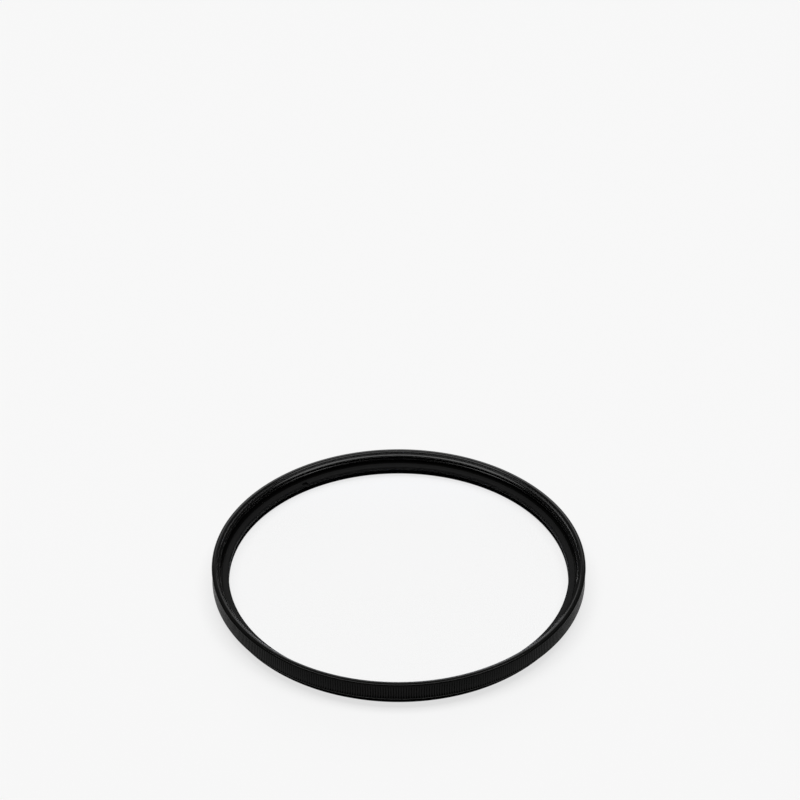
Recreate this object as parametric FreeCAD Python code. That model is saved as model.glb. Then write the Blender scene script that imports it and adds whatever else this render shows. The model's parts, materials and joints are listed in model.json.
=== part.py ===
import FreeCAD, Part
import math
import os
from FreeCAD import Vector

# Ultraviolet lens filter of the 72 mm size. A knurled frame ring carries a round
# glass on an inner lip, and a slotted ring holds the glass down.
# Lengths are in millimetres. The optical axis is Z, the front of the filter looks
# up, and the origin is on the axis in the end face of the male thread, on which
# the filter stands.

# Filter thread, the same size in front and behind
thread_diameter = 72.0
thread_pitch = 0.75
male_root_ratio = 0.6134      # depth of a metric male thread, in pitches
female_crest_ratio = 0.5413   # depth of a metric female thread, in pitches
thread_flank_angle = 30.0     # degrees between a thread flank and a plane across the axis

# Male thread at the rear
rear_thread_length = 2.0
relief_length = 0.3           # groove that lets the thread run out at the shoulder
thread_end_chamfer = 0.3
rear_wall = 0.9               # wall left outside the flared rear mouth

# Grip rim
rim_overhang = 1.15           # how far the rim stands out past the thread
rim_height = 3.62
rim_edge_chamfer = 0.22
knurl_teeth = 480
knurl_depth = 0.15
knurl_drop = 0.03             # the tooth tips lie this far below the plain bands
plain_band = 0.35             # height left plain above and below the teeth

# Front mouth
mouth_chamfer = 0.2           # opens this far past the thread, and is as deep

# Glass seat
seat_height = 0.8             # height of the lip's upper face above the rear end
seat_step = 0.4               # the glass bore is this much smaller than the front bore
lip_width = 1.36              # how far the lip reaches in under the glass
lip_land = 0.15               # straight edge of the lip, above its flared underside

# Glass
glass_thickness = 1.6
glass_radial_gap = 0.1
glass_edge_chamfer = 0.15

# Retaining ring
ring_thickness = 0.9
ring_radial_gap = 0.05
ring_recess = 0.05            # the ring ends this far below the step of the front bore
ring_bevel = 0.25             # bevel of its inner upper edge
slot_count = 2
slot_width = 1.2
slot_depth = 0.5
slot_length = 0.65            # each slot runs this far out from the ring's inner edge
slot_angle = 125.0            # degrees from +X to the first slot

# Radii that follow from the sizes above
male_radius = thread_diameter / 2
male_root_radius = male_radius - male_root_ratio * thread_pitch
front_bore_radius = male_radius - female_crest_ratio * thread_pitch
mouth_radius = male_radius + mouth_chamfer
rim_radius = male_radius + rim_overhang
tooth_tip_radius = rim_radius - knurl_drop
tooth_root_radius = tooth_tip_radius - knurl_depth
seat_radius = front_bore_radius - seat_step
aperture_radius = seat_radius - lip_width
rear_mouth_radius = male_radius - rear_wall
glass_radius = seat_radius - glass_radial_gap
ring_radius = seat_radius - ring_radial_gap

# Heights that follow from the sizes above
rim_bottom = rear_thread_length
rim_top = rim_bottom + rim_height
glass_top = seat_height + glass_thickness
ring_top = glass_top + ring_thickness
front_step = ring_top + ring_recess
chamfer_bottom = rim_top - mouth_chamfer
first_crest_drop = (male_radius - front_bore_radius) * math.tan(math.radians(thread_flank_angle))
first_crest = chamfer_bottom - first_crest_drop

# Tools that cut through a face reach this far past it
overcut = 1.0

AXIS_FOOT = Vector(0, 0, 0)
AXIS_UP = Vector(0, 0, 1)


def turned(profile):
    """Turn a closed profile of (radius, height) points about the optical axis."""
    corners = [Vector(radius, 0, height) for radius, height in profile]
    outline = Part.makePolygon(corners + [corners[0]])
    return Part.Face(outline).revolve(AXIS_FOOT, AXIS_UP, 360)


def on_circle(radius, angle, height):
    """The point at this radius and angle, in radians, about the optical axis."""
    return Vector(radius * math.cos(angle), radius * math.sin(angle), height)


def frame_blank():
    """The frame's outside as it is first turned, with no knurl and no bore."""
    chamfered_radius = rim_radius - rim_edge_chamfer
    return turned([
        (0, 0),
        (male_radius - thread_end_chamfer, 0),
        (male_radius, thread_end_chamfer),
        (male_radius, rim_bottom - relief_length),
        (male_root_radius, rim_bottom - relief_length),
        (male_root_radius, rim_bottom),
        (chamfered_radius, rim_bottom),
        (rim_radius, rim_bottom + rim_edge_chamfer),
        (rim_radius, rim_top - rim_edge_chamfer),
        (chamfered_radius, rim_top),
        (0, rim_top),
    ])


def knurl_cut():
    """What the straight knurl takes off the rim: a band with a toothed inner side."""
    tooth_angle = 2 * math.pi / knurl_teeth
    bottom = rim_bottom + plain_band
    height = rim_height - 2 * plain_band
    corners = []
    for tooth in range(knurl_teeth):
        root_angle = tooth * tooth_angle
        corners.append(on_circle(tooth_root_radius, root_angle, bottom))
        corners.append(on_circle(tooth_tip_radius, root_angle + tooth_angle / 2, bottom))
    outline = Part.makePolygon(corners + [corners[0]])
    toothed_disc = Part.Face(outline).extrude(AXIS_UP * height)
    foot = AXIS_UP * bottom
    return Part.makeCylinder(rim_radius + overcut, height, foot).cut(toothed_disc)


def frame_bore():
    """The space inside the frame, from the flared rear mouth to the front lead-in."""
    return turned([
        (0, -overcut),
        (rear_mouth_radius, -overcut),
        (rear_mouth_radius, 0),
        (aperture_radius, seat_height - lip_land),
        (aperture_radius, seat_height),
        (seat_radius, seat_height),
        (seat_radius, front_step),
        (front_bore_radius, front_step),
        (front_bore_radius, first_crest),
        (male_radius, chamfer_bottom),
        (mouth_radius, rim_top),
        (mouth_radius, rim_top + overcut),
        (0, rim_top + overcut),
    ])


def filter_frame():
    """The frame ring: male thread, knurled rim, front bore, glass seat and lip."""
    outside = frame_blank().cut(knurl_cut())
    return outside.cut(frame_bore())


def filter_glass():
    """The plane round glass, its edges lightly chamfered, lying on the lip."""
    return turned([
        (0, seat_height),
        (glass_radius - glass_edge_chamfer, seat_height),
        (glass_radius, seat_height + glass_edge_chamfer),
        (glass_radius, glass_top - glass_edge_chamfer),
        (glass_radius - glass_edge_chamfer, glass_top),
        (0, glass_top),
    ])


def spanner_slot(angle):
    """The cutter for one spanner slot, open to the ring's inner edge and its top."""
    outer_end = aperture_radius + slot_length
    cutter = Part.makeBox(outer_end, slot_width, slot_depth + overcut)
    cutter.translate(Vector(0, -slot_width / 2, ring_top - slot_depth))
    cutter.rotate(AXIS_FOOT, AXIS_UP, angle)
    return cutter


def retaining_ring():
    """The slotted ring that lies on the glass, flush inside with the lip."""
    ring = turned([
        (aperture_radius, glass_top),
        (ring_radius, glass_top),
        (ring_radius, ring_top),
        (aperture_radius + ring_bevel, ring_top),
        (aperture_radius, ring_top - ring_bevel),
    ])
    for slot in range(slot_count):
        ring = ring.cut(spanner_slot(slot_angle + slot * 360 / slot_count))
    return ring


def write_step(shape, node):
    """Write one piece as a STEP file named after its node, and say what it holds."""
    piece = shape.Solids[0]
    piece.exportStep(os.path.join("parts", node + ".step"))
    print(node, "solids", len(shape.Solids), "volume mm3", round(piece.Volume, 2), "valid", piece.isValid())


os.makedirs("parts", exist_ok=True)
write_step(filter_frame(), "filter_frame")
write_step(filter_glass(), "filter_glass")
write_step(retaining_ring(), "retaining_ring")
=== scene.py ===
# %% [markdown]
# # A screw-in ultraviolet lens filter
#
# The real object is three pieces: a thin black anodised aluminium frame with a
# knurled grip, a plane round glass with an anti-reflection coating, and a slotted
# ring that holds the glass down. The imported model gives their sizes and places.
# This script gives each of them the fine form and the finish of the real one.
# The optical axis is Z, the front of the filter looks up, and the filter stands
# on the end of its male thread.

# %% Load the fixed frame
import json
import math

import bmesh
import bpy
from mathutils import Matrix, Vector


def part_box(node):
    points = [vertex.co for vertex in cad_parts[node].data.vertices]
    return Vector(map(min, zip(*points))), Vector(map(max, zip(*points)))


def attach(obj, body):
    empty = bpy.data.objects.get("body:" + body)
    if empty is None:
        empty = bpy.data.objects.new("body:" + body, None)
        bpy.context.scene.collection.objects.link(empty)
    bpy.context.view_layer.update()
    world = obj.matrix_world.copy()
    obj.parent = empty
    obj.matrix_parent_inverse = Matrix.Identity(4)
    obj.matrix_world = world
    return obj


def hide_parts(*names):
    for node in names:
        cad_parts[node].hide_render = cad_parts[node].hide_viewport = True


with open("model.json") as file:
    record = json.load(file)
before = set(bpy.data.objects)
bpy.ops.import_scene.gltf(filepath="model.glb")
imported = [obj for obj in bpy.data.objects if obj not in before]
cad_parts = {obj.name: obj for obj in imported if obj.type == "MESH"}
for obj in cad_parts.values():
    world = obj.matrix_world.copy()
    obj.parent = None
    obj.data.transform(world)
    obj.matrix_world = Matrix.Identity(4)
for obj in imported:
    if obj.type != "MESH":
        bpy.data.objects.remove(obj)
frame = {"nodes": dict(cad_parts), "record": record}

MM = 0.001
AXIS_FOOT = Vector((0, 0, 0))
AXIS_UP = Vector((0, 0, 1))


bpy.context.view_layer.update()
print("packed nodes:", sorted(frame["nodes"]))

# %% [markdown]
# ## Sizes
#
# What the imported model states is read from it: the box of each node, and the
# radius of each thread in the list of mounts. The fine sizes inside the frame are
# the ones that the solids were built with, in millimetres, and the other radii and
# heights follow from them.

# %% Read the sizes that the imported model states
mounts = {mount["name"]: mount for mount in frame["record"]["mounts"]}
male_radius = mounts["rear_thread"]["dims"]["r_mm"] * MM
front_bore_radius = mounts["front_thread"]["dims"]["r_mm"] * MM
rim_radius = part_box("filter_frame")[1].x
rim_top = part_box("filter_frame")[1].z
glass_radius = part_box("filter_glass")[1].x
seat_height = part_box("filter_glass")[0].z
glass_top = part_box("filter_glass")[1].z
ring_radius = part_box("retaining_ring")[1].x
ring_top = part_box("retaining_ring")[1].z
print("rim radius", round(rim_radius / MM, 3), "top", round(rim_top / MM, 3),
      "glass", round(glass_radius / MM, 3))

# %% Name the fine sizes of the frame
thread_pitch = 0.75 * MM
male_root_ratio = 0.6134          # depth of a metric male thread, in pitches
flank_slope = math.tan(math.radians(30))
rim_bottom = 2.0 * MM
rim_edge_chamfer = 0.22 * MM
plain_band = 0.35 * MM            # height left plain above and below the teeth
knurl_teeth = 480
knurl_drop = 0.03 * MM            # the tooth tips lie this far below the plain bands
knurl_depth = 0.15 * MM
mouth_opening = 0.2 * MM          # the front mouth opens this far past the thread
seat_step = 0.4 * MM
lip_width = 1.36 * MM
lip_land = 0.15 * MM
ring_recess = 0.05 * MM
rear_wall = 0.9 * MM
print("thread pitch", round(thread_pitch / MM, 3), "mm, knurl teeth", knurl_teeth)

# %% Work out the radii and heights that follow
thread_root_radius = male_radius - male_root_ratio * thread_pitch
tooth_tip_radius = rim_radius - knurl_drop
tooth_root_radius = tooth_tip_radius - knurl_depth
mouth_radius = male_radius + mouth_opening
lead_in_depth = mouth_opening * flank_slope
seat_radius = front_bore_radius - seat_step
aperture_radius = seat_radius - lip_width
front_step = ring_top + ring_recess
rear_mouth_radius = male_radius - rear_wall
print("aperture across", round(2 * aperture_radius / MM, 2),
      "mm, mouth across", round(2 * mouth_radius / MM, 2), "mm")

# %% [markdown]
# ## The camera
#
# A camera is worth setting before any modelling, because every later choice of
# detail depends on what it sees. It looks down on the filter from the front at
# about 35 degrees, from half a metre away, through a lens of about 110 mm on a
# 36 mm wide sensor.

# %% A helper that puts an object into the scene
def add_object(name, data):
    """Make an object with this data and link it to the scene."""
    added = bpy.data.objects.new(name, data)
    bpy.context.scene.collection.objects.link(added)
    return added


# %% Place the camera
camera_place = Vector((0.26, -380.22, 315.04)) * MM
camera_tilt_down = 35.42
camera_lens_mm = 110.65
sensor_width_mm = 36.0
nearest_seen = 10 * MM
camera_data = bpy.data.cameras.new("camera")
camera_data.lens = camera_lens_mm
camera_data.sensor_width = sensor_width_mm
camera_data.clip_start = nearest_seen
camera = add_object("camera", camera_data)
camera.location = camera_place
camera.rotation_euler = (math.radians(90 - camera_tilt_down), 0, 0)
bpy.context.scene.camera = camera
print("camera", round(camera_place.length / MM), "mm from the filter")

# %% [markdown]
# ## Turned shapes
#
# Every piece here was turned on a lathe, so each starts as half of its section,
# drawn beside the axis, and is spun about it. The helpers below put the section's
# corners in the XZ plane, join them into a closed outline and round the corners
# a little, as a turned and tumbled edge is. The face that the outline needs for
# its rounding is removed again, because a spun outline closes by itself.

# %% A helper that joins points into a rounded outline
def join_outline(mesh, points, corners, corner_round, segments):
    """Join points into a closed outline and round some of its corners."""
    mesh.faces.new(points)
    bmesh.ops.bevel(mesh, geom=corners, offset=corner_round, offset_type="OFFSET",
                    segments=segments, profile=0.5, affect="VERTICES", material=-1)
    bmesh.ops.delete(mesh, geom=mesh.faces[:], context="FACES_ONLY")


# %% A helper that draws a section
edge_round = 0.03 * MM


def draw_section(mesh, corners, left_sharp=()):
    """Add a closed section of (radius, height) corners, rounded except for some of them."""
    points = [mesh.verts.new((radius, 0, height)) for radius, height in corners]
    rounded = [point for number, point in enumerate(points) if number not in left_sharp]
    join_outline(mesh, points, rounded, edge_round, segments=1)


# %% A helper that spins edges about the optical axis
def spin(mesh, geometry, degrees, steps, rise=0.0, copy=False):
    """Spin geometry about the optical axis, with an even rise along it."""
    bmesh.ops.spin(mesh, geom=geometry, cent=AXIS_FOOT, axis=AXIS_UP,
                   dvec=AXIS_UP * (rise / steps), angle=math.radians(degrees), steps=steps,
                   use_merge=degrees == 360, use_duplicate=copy)


# %% A helper that moves a point to a radius
def set_radius(point, radius):
    """Move a point straight towards the optical axis or away from it."""
    point.co.xy *= radius / point.co.xy.length


# %% A helper that turns a finished mesh into a piece
weld_distance = 0.0005 * MM
sharp_angle = math.radians(32)


def finish_piece(mesh, name, stands_for=()):
    """Weld, orient and name a mesh, and let it ride on the filter's one body."""
    bmesh.ops.remove_doubles(mesh, verts=mesh.verts[:], dist=weld_distance)
    bmesh.ops.recalc_face_normals(mesh, faces=mesh.faces[:])
    data = bpy.data.meshes.new(name)
    mesh.to_mesh(data)
    mesh.free()
    data.shade_smooth()
    data.set_sharp_from_angle(angle=sharp_angle)
    piece = add_object(name, data)
    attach(piece, "root")
    if stands_for:
        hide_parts(*stands_for)
    loose_edges = sum(1 for edge in data.edges if edge.is_loose)
    print(name, len(data.polygons), "faces, loose edges", loose_edges)
    return piece


# %% [markdown]
# ## The frame ring
#
# The straight knurl is a row of 480 upright teeth, rolled into the rim between two
# plain bands that stand a hair prouder than the teeth. The frame could be turned
# first and the teeth laid over it, but then they would be a loose band. Here
# the frame is one small sector, as wide as one tooth, that is repeated round the
# axis and welded, so that the teeth and the turned parts are one closed skin, as
# they are one piece of metal. In the sector, the turned part of the section is spun
# in one step. The tooth's upright edge is spun in three, which gives four columns:
# the outer two are sunk to the tooth roots, and the flat tip lies between them.
# The front mouth opens in a lead-in at the angle of the thread's flank, as wide as
# the plain chamfer that the solids have there.

# %% Draw the turned part of the section
tooth_bottom = rim_bottom + plain_band
tooth_top = rim_top - plain_band
tooth_length = tooth_top - tooth_bottom
close_enough = 0.001 * MM
frame_corners = [
    (rim_radius, tooth_bottom),
    (rim_radius, rim_bottom + rim_edge_chamfer),
    (rim_radius - rim_edge_chamfer, rim_bottom),
    (thread_root_radius, rim_bottom),
    (thread_root_radius, 0),
    (rear_mouth_radius, 0),
    (aperture_radius, seat_height - lip_land),
    (aperture_radius, seat_height),
    (seat_radius, seat_height),
    (seat_radius, front_step),
    (male_radius, front_step),
    (male_radius, rim_top - lead_in_depth),
    (mouth_radius, rim_top),
    (rim_radius - rim_edge_chamfer, rim_top),
    (rim_radius, rim_top - rim_edge_chamfer),
    (rim_radius, tooth_top),
]
last_corner = len(frame_corners) - 1
frame_mesh = bmesh.new()
draw_section(frame_mesh, frame_corners, left_sharp=(0, last_corner))
behind_teeth = [edge for edge in frame_mesh.edges
                if abs(edge.calc_length() - tooth_length) < close_enough]
bmesh.ops.delete(frame_mesh, geom=behind_teeth, context="EDGES")
print("turned section:", len(frame_mesh.edges), "edges")

# %% Spin one sector of it, and one tooth in front
tooth_degrees = 360 / knurl_teeth
near_side = tooth_degrees / 10
tooth_end_round = 0.06 * MM


def degrees_from_x(point):
    """The angle from X at which a point stands about the optical axis."""
    return math.degrees(math.atan2(point.co.y, point.co.x))


spin(frame_mesh, frame_mesh.verts[:] + frame_mesh.edges[:], tooth_degrees, 1)
tooth_corners = [
    (tooth_tip_radius - tooth_end_round, tooth_bottom),
    (tooth_tip_radius, tooth_bottom + tooth_end_round),
    (tooth_tip_radius, tooth_top - tooth_end_round),
    (tooth_tip_radius - tooth_end_round, tooth_top),
]
tooth_points = [frame_mesh.verts.new((radius, 0, height)) for radius, height in tooth_corners]
tooth_edges = [frame_mesh.edges.new(pair) for pair in zip(tooth_points, tooth_points[1:])]
before_tooth = set(frame_mesh.verts) - set(tooth_points)
spin(frame_mesh, tooth_points + tooth_edges, tooth_degrees, 3)
tooth_skin = [point for point in frame_mesh.verts if point not in before_tooth]
for point in tooth_skin:
    degrees = degrees_from_x(point)
    if min(degrees, tooth_degrees - degrees) < near_side:
        set_radius(point, tooth_root_radius)
print("tooth:", round(math.radians(tooth_degrees) * tooth_tip_radius / MM, 3), "mm wide")

# %% Close the tooth's two ends and copy it round the rim
for height in (tooth_bottom, tooth_top):
    at_height = [point for point in frame_mesh.verts if abs(point.co.z - height) < close_enough]
    for side in (0, tooth_degrees):
        on_side = [point for point in at_height if abs(degrees_from_x(point) - side) < near_side]
        frame_mesh.edges.new(on_side)
    end_edges = [edge for edge in frame_mesh.edges
                 if all(point in at_height for point in edge.verts)]
    bmesh.ops.edgenet_fill(frame_mesh, edges=end_edges)
print("one sector:", len(frame_mesh.faces), "faces")
one_tooth = frame_mesh.verts[:] + frame_mesh.edges[:] + frame_mesh.faces[:]
spin(frame_mesh, one_tooth, 360 - tooth_degrees, knurl_teeth - 1, copy=True)

# %% Mark the outer wall, which gets a finish of its own, and keep the frame
rolled_finish = 1                 # second of the frame's two finishes, after the turned one
grip_skin = 0.2 * MM
grip_faces = [face for face in frame_mesh.faces
              if face.calc_center_median().xy.length > rim_radius - grip_skin]
for face in grip_faces:
    face.material_index = rolled_finish
print("faces of the grip:", len(grip_faces), "of", len(frame_mesh.faces))
knurled_frame = finish_piece(frame_mesh, "knurled_frame", ["filter_frame"])

# %% [markdown]
# ## The filter threads
#
# Both threads are right-handed with a 0.75 mm pitch. A thread is a ridge that climbs
# round the wall, so each is one small section spun with a rise. Its flanks lean 30
# degrees and its crest is flat, with the corners a little rounded. At its ends a
# real thread is cut away, by the lead-in of the front mouth or by the end chamfer
# and the run-out groove behind. The points that would stand past one of these are
# moved back to it. The front thread starts blunt, three quarters of a turn past
# the far side, where its ridge would begin to thin out into the lead-in. Such a
# thin start crosses threads easily, and is often milled away.

# %% A helper for a climbing ridge
root_overlap = 0.05 * MM          # the ridge's foot is sunk this far into the wall
crest_round = 0.035 * MM
steps_per_turn = 360


def thread_ridge(mesh, root, crest, crest_flat, start_height, start_degrees, turns):
    """Spin a ridge from root to crest radius that starts at a height and an angle."""
    foot = root + math.copysign(root_overlap, root - crest)
    half_crest = crest_flat / 2
    half_base = half_crest + abs(root - crest) * flank_slope
    profile = [(foot, -half_base), (root, -half_base), (crest, -half_crest),
               (crest, half_crest), (root, half_base), (foot, half_base)]
    turned = Matrix.Rotation(math.radians(start_degrees), 3, "Z")
    points = [mesh.verts.new(turned @ Vector((radius, 0, start_height + height)))
              for radius, height in profile]
    crest_corners = points[2:4]
    join_outline(mesh, points, crest_corners, crest_round, segments=2)
    spin(mesh, mesh.verts[:] + mesh.edges[:], 360 * turns, round(steps_per_turn * turns),
         rise=thread_pitch * turns)
    open_ends = [edge for edge in mesh.edges if edge.is_boundary]
    bmesh.ops.holes_fill(mesh, edges=open_ends, sides=0)
    return mesh.verts[:]


# %% Cut the front thread's turns
female_crest_flat = thread_pitch / 4
first_crest_depth = 0.92 * MM     # below the rim's face, at the far side
far_side_degrees = 90
turns_below = 1.75
turns_above = 0.75
face_gap = 0.02 * MM              # the thread ends at least this far below the rim's face
front_mesh = bmesh.new()
front_start = rim_top - first_crest_depth - thread_pitch * turns_below
front_points = thread_ridge(front_mesh, male_radius, front_bore_radius, female_crest_flat,
                            front_start, far_side_degrees - 360 * turns_below,
                            turns_below + turns_above)
for point in front_points:
    point.co.z = min(point.co.z, rim_top - face_gap)
    cut_radius = mouth_radius - (rim_top - point.co.z) / flank_slope
    if point.co.xy.length < cut_radius:
        set_radius(point, cut_radius)
front_thread = finish_piece(front_mesh, "front_thread")

# %% Cut the rear thread's turns
male_crest_flat = thread_pitch / 8
end_chamfer = 0.3 * MM
relief_length = 0.3 * MM          # groove that lets the thread run out at the rim
rear_start = 0.05 * MM
rear_start_degrees = 40
rear_turns = 2.6
rear_mesh = bmesh.new()
rear_points = thread_ridge(rear_mesh, thread_root_radius, male_radius, male_crest_flat,
                           rear_start, rear_start_degrees, rear_turns)
for point in rear_points:
    point.co.z = min(max(point.co.z, 0.0), rim_bottom)
    cut_radius = min(male_radius, male_radius - end_chamfer + point.co.z)
    if point.co.z > rim_bottom - relief_length:
        cut_radius = thread_root_radius
    if point.co.xy.length > cut_radius:
        set_radius(point, cut_radius)
rear_thread = finish_piece(rear_mesh, "rear_thread")

# %% [markdown]
# ## The retaining ring
#
# The ring is a plain turned band with a bevel towards the glass opening. Two slots
# for a spanner are milled into its top, from its inner edge outwards. A Boolean
# modifier cuts them, and its result is kept as the ring's mesh.

# %% Turn the ring
ring_bevel = 0.25 * MM
ring_steps = 480
ring_corners = [
    (aperture_radius, glass_top),
    (ring_radius, glass_top),
    (ring_radius, ring_top),
    (aperture_radius + ring_bevel, ring_top),
    (aperture_radius, ring_top - ring_bevel),
]
ring_mesh = bmesh.new()
draw_section(ring_mesh, ring_corners)
spin(ring_mesh, ring_mesh.verts[:] + ring_mesh.edges[:], 360, ring_steps)
slotted_ring = finish_piece(ring_mesh, "slotted_ring", ["retaining_ring"])

# %% Shape a cutter for its two spanner slots
slot_degrees = 125
slot_width = 1.2 * MM
slot_depth = 0.5 * MM
slot_length = 0.65 * MM
cutter_size = Vector((2 * slot_length, slot_width, 2 * slot_depth))
cutter_middle = Vector((aperture_radius, 0, ring_top))
cutter_mesh = bmesh.new()
for turn in (0, 180):
    block = bmesh.ops.create_cube(cutter_mesh, size=1.0)["verts"]
    bmesh.ops.scale(cutter_mesh, verts=block, vec=cutter_size)
    bmesh.ops.translate(cutter_mesh, verts=block, vec=cutter_middle)
    turned = Matrix.Rotation(math.radians(slot_degrees + turn), 3, "Z")
    bmesh.ops.rotate(cutter_mesh, verts=block, cent=AXIS_FOOT, matrix=turned)
cutter_data = bpy.data.meshes.new("slot_cutter")
cutter_mesh.to_mesh(cutter_data)
cutter_mesh.free()
cutter = add_object("slot_cutter", cutter_data)
print("slots at", slot_degrees, "and", slot_degrees + 180, "degrees")

# %% Mill the slots
milling = slotted_ring.modifiers.new("slots", "BOOLEAN")
milling.operation = "DIFFERENCE"
milling.solver = "EXACT"
milling.object = cutter
cut_ring = slotted_ring.evaluated_get(bpy.context.evaluated_depsgraph_get())
milled = bpy.data.meshes.new_from_object(cut_ring)
slotted_ring.modifiers.clear()
slotted_ring.data = milled
bpy.data.objects.remove(cutter)
milled.set_sharp_from_angle(angle=sharp_angle)
print("ring after milling:", len(milled.polygons), "faces")

# %% [markdown]
# ## The glass
#
# The glass is a plane disc with a light ground chamfer at both edges. It starts as
# its half section, open at the axis, and one spin closes it. The centre of each
# face is a point where all the sectors meet.

# %% Turn the glass
edge_chamfer = 0.15 * MM
glass_steps = 360
glass_corners = [
    (0, seat_height),
    (glass_radius - edge_chamfer, seat_height),
    (glass_radius, seat_height + edge_chamfer),
    (glass_radius, glass_top - edge_chamfer),
    (glass_radius - edge_chamfer, glass_top),
    (0, glass_top),
]
glass_mesh = bmesh.new()
glass_points = [glass_mesh.verts.new((radius, 0, height)) for radius, height in glass_corners]
glass_edges = [glass_mesh.edges.new(pair) for pair in zip(glass_points, glass_points[1:])]
spin(glass_mesh, glass_points + glass_edges, 360, glass_steps)
coated_glass = finish_piece(glass_mesh, "coated_glass", ["filter_glass"])

# %% [markdown]
# ## Materials
#
# Colours are written as the sRGB hex values that a picture shows, and one function
# turns them to the linear light that the shader counts in. One more small function
# adds a node with its settings and its links, which keeps each material readable
# as a short list of what feeds what.

# %% Helpers for materials
def linear(hex_colour):
    """The linear RGBA of an sRGB hex colour."""
    channels = [int(hex_colour[i:i + 2], 16) / 255 for i in (1, 3, 5)]
    return [c / 12.92 if c <= 0.04045 else ((c + 0.055) / 1.055) ** 2.4 for c in channels] + [1.0]


def add_node(tree, kind, settings=(), links=()):
    """Add a node, set its sockets by name or number and its properties, and link its inputs."""
    node = tree.nodes.new(kind)
    for name, value in dict(settings).items():
        if isinstance(name, int) or name in node.inputs:
            node.inputs[name].default_value = value
        else:
            setattr(node, name, value)
    for name, output in dict(links).items():
        tree.links.new(output, node.inputs[name])
    return node


def new_material(name):
    """A material with its empty node tree and its output node."""
    material = bpy.data.materials.new(name)
    material.use_nodes = True
    tree = material.node_tree
    tree.nodes.clear()
    return material, tree, tree.nodes.new("ShaderNodeOutputMaterial")


def distance_from_axis(tree, place):
    """The distance of each point from the optical axis."""
    flat = add_node(tree, "ShaderNodeVectorMath", {"operation": "MULTIPLY", 1: (1, 1, 0)},
                    {0: place.outputs["Object"]})
    radius = add_node(tree, "ShaderNodeVectorMath", {"operation": "LENGTH"},
                      {0: flat.outputs["Vector"]})
    return radius.outputs["Value"]


# %% [markdown]
# ### Black anodised aluminium
#
# Anodising grows a clear, hard oxide on the metal, and a black dye fills it. The
# body colour is a deep neutral black, and the oxide gives a satin sheen that is
# weaker than that of a plastic. The tool leaves fine rings round the axis, which
# stretch the sheen across them, and the dye takes a little unevenly. One function
# makes three such finishes. The turned faces of the frame are the smoothest. The
# grip was rolled between hard wheels, which leaves it matt, and the retaining ring
# was blasted, so that it sends no stray light through the glass.

# %% Make the anodised finish
mark_spacing = 0.12 * MM          # coarser than the real 0.05 mm or so, which wouldn't show
mark_depth = 0.004 * MM
mark_strength = 0.12
patch_size = 2.5 * MM
polish_spread = 0.05
oxide_index = 1.5
across_marks = 0.25               # of a turn, from along the turning marks


def anodised(name, dark, pale, roughness, sheen_level, stretch):
    """Dyed anodised aluminium with turning marks round the optical axis."""
    material, tree, output = new_material(name)
    place = add_node(tree, "ShaderNodeTexCoord")
    axes = add_node(tree, "ShaderNodeSeparateXYZ", links={0: place.outputs["Object"]})
    across = add_node(tree, "ShaderNodeMath", {"operation": "ADD"},
                      {0: distance_from_axis(tree, place), 1: axes.outputs["Z"]})
    marks = add_node(tree, "ShaderNodeTexNoise",
                     {"noise_dimensions": "1D", "Scale": 1 / mark_spacing, "Detail": 2.0},
                     {"W": across.outputs["Value"]})
    relief = add_node(tree, "ShaderNodeBump", {"Strength": mark_strength, "Distance": mark_depth},
                      {"Height": marks.outputs["Fac"]})
    patches = add_node(tree, "ShaderNodeTexNoise",
                       {"Scale": 1 / patch_size, "Detail": 4.0, "Roughness": 0.6},
                       {"Vector": place.outputs["Object"]})
    dye = add_node(tree, "ShaderNodeMix", {"data_type": "RGBA", 6: linear(dark), 7: linear(pale)},
                   {0: patches.outputs["Fac"]})
    polish = add_node(tree, "ShaderNodeMapRange",
                      {"To Min": roughness - polish_spread, "To Max": roughness + polish_spread},
                      {"Value": patches.outputs["Fac"]})
    around = add_node(tree, "ShaderNodeTangent", {"direction_type": "RADIAL", "axis": "Z"})
    skin = add_node(tree, "ShaderNodeBsdfPrincipled",
                    {"Metallic": 0.0, "IOR": oxide_index, "Specular IOR Level": sheen_level,
                     "Anisotropic": stretch, "Anisotropic Rotation": across_marks},
                    {"Base Color": dye.outputs[2], "Roughness": polish.outputs["Result"],
                     "Normal": relief.outputs["Normal"], "Tangent": around.outputs["Tangent"]})
    tree.links.new(skin.outputs["BSDF"], output.inputs["Surface"])
    return material


frame_finish = anodised("black anodised aluminium, turned", "#080808", "#0d0d0c",
                        roughness=0.12, sheen_level=0.25, stretch=0.4)
grip_finish = anodised("black anodised aluminium, rolled", "#080808", "#0d0d0c",
                       roughness=0.2, sheen_level=0.07, stretch=0.0)
ring_finish = anodised("black anodised aluminium, blasted", "#141414", "#1a1a1a",
                       roughness=0.5, sheen_level=0.06, stretch=0.2)

# %% Put it on the metal pieces
for piece, finishes in ((knurled_frame, (frame_finish, grip_finish)),
                        (front_thread, (frame_finish,)),
                        (rear_thread, (frame_finish,)),
                        (slotted_ring, (ring_finish,))):
    for finish in finishes:
        piece.data.materials.append(finish)
    print(piece.name, "wears", ", ".join(finish.name for finish in finishes))
rolled_faces = [face for face in knurled_frame.data.polygons
                if face.material_index == rolled_finish]
print("faces in the rolled finish:", len(rolled_faces))

# %% [markdown]
# ### Optical glass, polished and coated
#
# The glass is clear to the edge. Its many-layer coating takes away nearly all of
# the reflection that plain glass has, and leaves a faint cool tint in what is left.
# A single glass shader has no such coating, so two shaders are mixed: one that only
# lets light through and bends it, and a tinted gleam, whose share is that of a much
# weaker glass. The thin ground edge is rough and scatters light. Glass also blocks
# the quick rays that look for a lamp, which would put a dark disc on the floor, so
# for these and for soft light the pane is simply clear.

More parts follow.
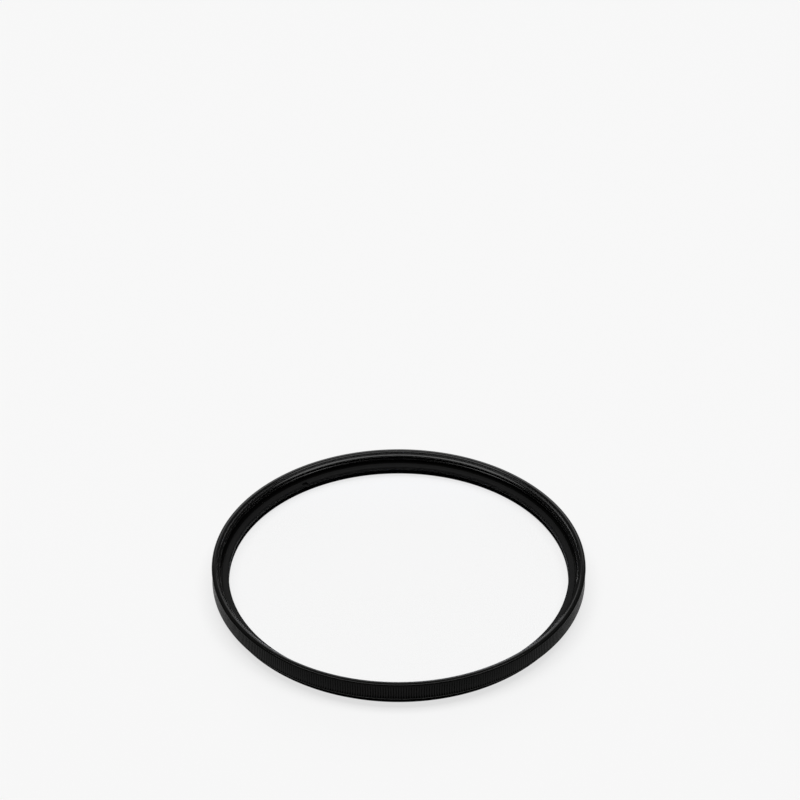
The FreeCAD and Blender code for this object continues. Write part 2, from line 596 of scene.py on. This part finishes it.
# %% Make the glass
glass_index = 1.52
coated_index = 1.2
ground_roughness = 0.5
ground_from = glass_radius - 1.5 * edge_chamfer
glass_finish, tree, output = new_material("optical glass, polished and coated")
place = add_node(tree, "ShaderNodeTexCoord")
ground = add_node(tree, "ShaderNodeMapRange",
                  {"From Min": ground_from, "From Max": glass_radius - edge_chamfer,
                   "To Min": 0.0, "To Max": ground_roughness},
                  {"Value": distance_from_axis(tree, place)})
let_through = add_node(tree, "ShaderNodeBsdfRefraction",
                       {"Color": linear("#ffffff"), "IOR": glass_index},
                       {"Roughness": ground.outputs["Result"]})
gleam = add_node(tree, "ShaderNodeBsdfGlossy", {"Color": linear("#b4c4f0")},
                 {"Roughness": ground.outputs["Result"]})
left_over = add_node(tree, "ShaderNodeFresnel", {"IOR": coated_index})
polished = add_node(tree, "ShaderNodeMixShader", links={
    0: left_over.outputs["Fac"], 1: let_through.outputs["BSDF"], 2: gleam.outputs["BSDF"]})
rays = add_node(tree, "ShaderNodeLightPath")
soft_light = add_node(tree, "ShaderNodeMath", {"operation": "MAXIMUM"},
                      {0: rays.outputs["Is Shadow Ray"], 1: rays.outputs["Is Diffuse Ray"]})
clear = add_node(tree, "ShaderNodeBsdfTransparent", {"Color": linear("#fefefe")})
pane = add_node(tree, "ShaderNodeMixShader", links={
    0: soft_light.outputs["Value"], 1: polished.outputs["Shader"], 2: clear.outputs["BSDF"]})
tree.links.new(pane.outputs["Shader"], output.inputs["Surface"])
coated_glass.data.materials.append(glass_finish)
print(coated_glass.name, "wears", glass_finish.name)

# %% [markdown]
# ## Floor and light
#
# The filter stands on a plain white floor. The floor is a matt board, so it keeps
# the soft shadow under the rim, mixed with a share of plain white where the camera
# sees it, so that it looks white without more light on the object. The share is a
# little larger through the glass, which takes some light away. A black object
# is seen mostly by what it mirrors. Two things are there for it to mirror: a soft
# panel above, which draws a bright line along the first turn of the thread, and a
# pale screen low behind, which the far part of the rim's flat face catches. The
# rest of the room is dim, so that the sides stay black.

# %% Lay the floor
floor_radius = 2.5
floor_sides = 96
floor_mesh = bmesh.new()
bmesh.ops.create_circle(floor_mesh, cap_ends=True, segments=floor_sides, radius=floor_radius)
floor_data = bpy.data.meshes.new("floor")
floor_mesh.to_mesh(floor_data)
floor_mesh.free()
floor = add_object("floor", floor_data)
print("floor laid,", 2 * floor_radius, "m across")

# %% Make it white to the camera, in what is mirrored and through the glass
white_share = 0.72
more_through_glass = 0.1
floor_finish, tree, output = new_material("matt white board")
board = add_node(tree, "ShaderNodeBsdfPrincipled",
                 {"Base Color": linear("#f6f6f6"), "Roughness": 0.9, "Specular IOR Level": 0.0})
white = add_node(tree, "ShaderNodeEmission", {"Color": linear("#fcfcfc"), "Strength": 1.0})
rays = add_node(tree, "ShaderNodeLightPath")
direct = add_node(tree, "ShaderNodeMath", {"operation": "MAXIMUM"},
                  {0: rays.outputs["Is Camera Ray"], 1: rays.outputs["Is Glossy Ray"]})
seen = add_node(tree, "ShaderNodeMath", {"operation": "MAXIMUM"},
                {0: direct.outputs["Value"], 1: rays.outputs["Is Transmission Ray"]})
through = add_node(tree, "ShaderNodeMath", {"operation": "MULTIPLY", 1: more_through_glass},
                   {0: rays.outputs["Is Transmission Ray"]})
share = add_node(tree, "ShaderNodeMath", {"operation": "MULTIPLY_ADD", 1: white_share},
                 {0: seen.outputs["Value"], 2: through.outputs["Value"]})
surface = add_node(tree, "ShaderNodeMixShader", links={
    0: share.outputs["Value"], 1: board.outputs["BSDF"], 2: white.outputs["Emission"]})
tree.links.new(surface.outputs["Shader"], output.inputs["Surface"])
floor_data.materials.append(floor_finish)
print(floor.name, "wears", floor_finish.name)

# %% Hang the soft panel, which shines straight down
panel_place = (0, 0.12, 1.6)
panel_width = 2.1
panel_depth = 0.8
panel_watts = 25.5
panel_data = bpy.data.lights.new("top_panel", "AREA")
panel_data.shape = "RECTANGLE"
panel_data.size = panel_width
panel_data.size_y = panel_depth
panel_data.energy = panel_watts
panel = add_object("top_panel", panel_data)
panel.location = panel_place
print("one soft panel,", panel_width, "by", panel_depth, "m")

# %% Light the room, with the pale screen behind
screen_strength = 1.6
room_strength = 0.1
screen_top_degrees = (36.8, 38.4)
screen_foot_degrees = (8, 18)
screen_side_degrees = (10, 20)
world = bpy.data.worlds.new("dim room with a pale screen behind")
bpy.context.scene.world = world
world.use_nodes = True
tree = world.node_tree


def sines(degrees):
    """The heights of directions that rise at these angles."""
    return [math.sin(math.radians(angle)) for angle in degrees]


def soft_edge(value, span, levels):
    """A smooth change from one level to the other while a value crosses a span."""
    edge = add_node(tree, "ShaderNodeMapRange",
                    {"From Min": span[0], "From Max": span[1],
                     "To Min": levels[0], "To Max": levels[1],
                     "interpolation_type": "SMOOTHSTEP"}, {"Value": value})
    return edge.outputs["Result"]


direction = add_node(tree, "ShaderNodeTexCoord")
axes = add_node(tree, "ShaderNodeSeparateXYZ", links={0: direction.outputs["Generated"]})
turn = add_node(tree, "ShaderNodeMath", {"operation": "ARCTAN2"},
                {0: axes.outputs["X"], 1: axes.outputs["Y"]})
aside = add_node(tree, "ShaderNodeMath", {"operation": "ABSOLUTE"}, {0: turn.outputs["Value"]})
top_edge = soft_edge(axes.outputs["Z"], sines(screen_top_degrees), (1.0, 0.0))
foot_edge = soft_edge(axes.outputs["Z"], sines(screen_foot_degrees), (0.0, 1.0))
side_edge = soft_edge(aside.outputs["Value"],
                      [math.radians(angle) for angle in screen_side_degrees], (1.0, 0.0))
upright = add_node(tree, "ShaderNodeMath", {"operation": "MULTIPLY"}, {0: top_edge, 1: foot_edge})
screen = add_node(tree, "ShaderNodeMath", {"operation": "MULTIPLY"},
                  {0: upright.outputs["Value"], 1: side_edge})
room = add_node(tree, "ShaderNodeMath",
                {"operation": "MULTIPLY_ADD", 1: screen_strength, 2: room_strength},
                {0: screen.outputs["Value"]})
background = tree.nodes["Background"]
background.inputs["Color"].default_value = linear("#ffffff")
tree.links.new(room.outputs["Value"], background.inputs["Strength"])
bpy.context.scene.view_settings.view_transform = "Standard"
print("one pale screen behind, its top at", screen_top_degrees[1], "degrees")
